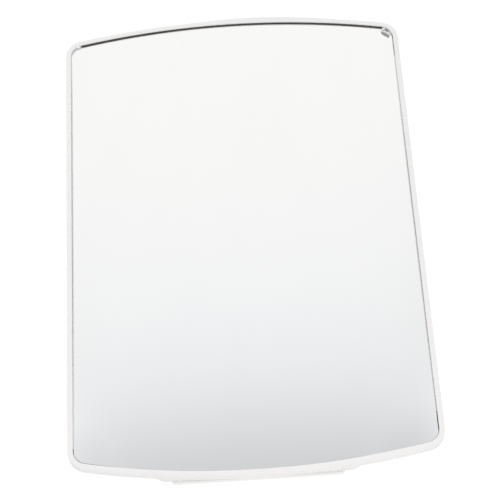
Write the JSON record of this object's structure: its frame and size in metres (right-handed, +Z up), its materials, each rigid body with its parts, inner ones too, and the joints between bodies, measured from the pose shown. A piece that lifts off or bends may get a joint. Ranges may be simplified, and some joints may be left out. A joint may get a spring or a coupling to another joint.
{
  "type": "traffic convex mirror",
  "caption": "Upright rectangular convex traffic mirror with arched ends, white edging and back shell, on a two-way swivel bracket that clamps to a round post.",
  "frame": {"origin": "on the axis of the post that the clamp holds, at the middle of the clamp's height, level with the middle of the mirror", "axes": "+Z up along the post, the mirror faces -Y, +X to the right seen from in front"},
  "size_m": [0.4, 0.2175, 0.6023],
  "materials": {
    "mirror": "polished",
    "white_edging": "satin white moulded edging",
    "black_rubber": "matt extruded rubber",
    "grey_plastic": "matt ribbed plastic",
    "foam_tape": "matt foam",
    "white_shell": "satin white moulded shell",
    "white_paint": "white powder coat",
    "rivet_aluminium": "satin",
    "galvanised_steel": "galvanised",
    "cast_iron_grey": "galvanised casting",
    "zinc_fastener": "zinc plated",
    "nylon_disc": "natural nylon"
  },
  "bodies": {
    "post_bracket": {"post_saddle": "galvanised_steel", "fork_upper_plate": "galvanised_steel", "fork_lower_plate": "galvanised_steel", "fork_gusset": "galvanised_steel", "clamp_jaw": "galvanised_steel", "clamp_bolts": "zinc_fastener", "clamp_washers": "zinc_fastener", "clamp_nuts": "zinc_fastener", "pan_bolt": "zinc_fastener", "pan_nut": "zinc_fastener", "pan_washers": "zinc_fastener"},
    "swivel_link": {"swivel_knuckle": "cast_iron_grey", "pan_friction_discs": "nylon_disc", "tilt_friction_discs": "nylon_disc"},
    "mirror_head": {"mirror_face": "mirror", "bezel_frame": "white_edging", "front_gasket": "black_rubber", "gasket_corner_wedge": "grey_plastic", "sealing_tape": "foam_tape", "bezel_rivets": "rivet_aluminium", "back_shell": "white_shell", "rear_rail": "white_paint", "rail_screws": "zinc_fastener", "rail_screw_spacers": "zinc_fastener", "rail_nut_strips": "galvanised_steel", "yoke_backing_plate": "galvanised_steel", "yoke_spacer_sleeves": "zinc_fastener", "head_yoke": "galvanised_steel", "yoke_bolts": "zinc_fastener", "yoke_washers": "zinc_fastener", "yoke_nuts": "zinc_fastener", "tilt_bolt": "zinc_fastener", "tilt_nut": "zinc_fastener", "tilt_washers": "zinc_fastener"}
  },
  "joints": [
    {"name": "pan", "type": "hinge", "parent": "post_bracket", "child": "swivel_link", "pos_m": [0, -0.066, 0], "axis": [0, 0, 1], "range_deg": [-35, 35]},
    {"name": "tilt", "type": "hinge", "parent": "swivel_link", "child": "mirror_head", "pos_m": [0, -0.108, 0], "axis": [1, 0, 0], "range_deg": [-10, 15]}
  ]
}
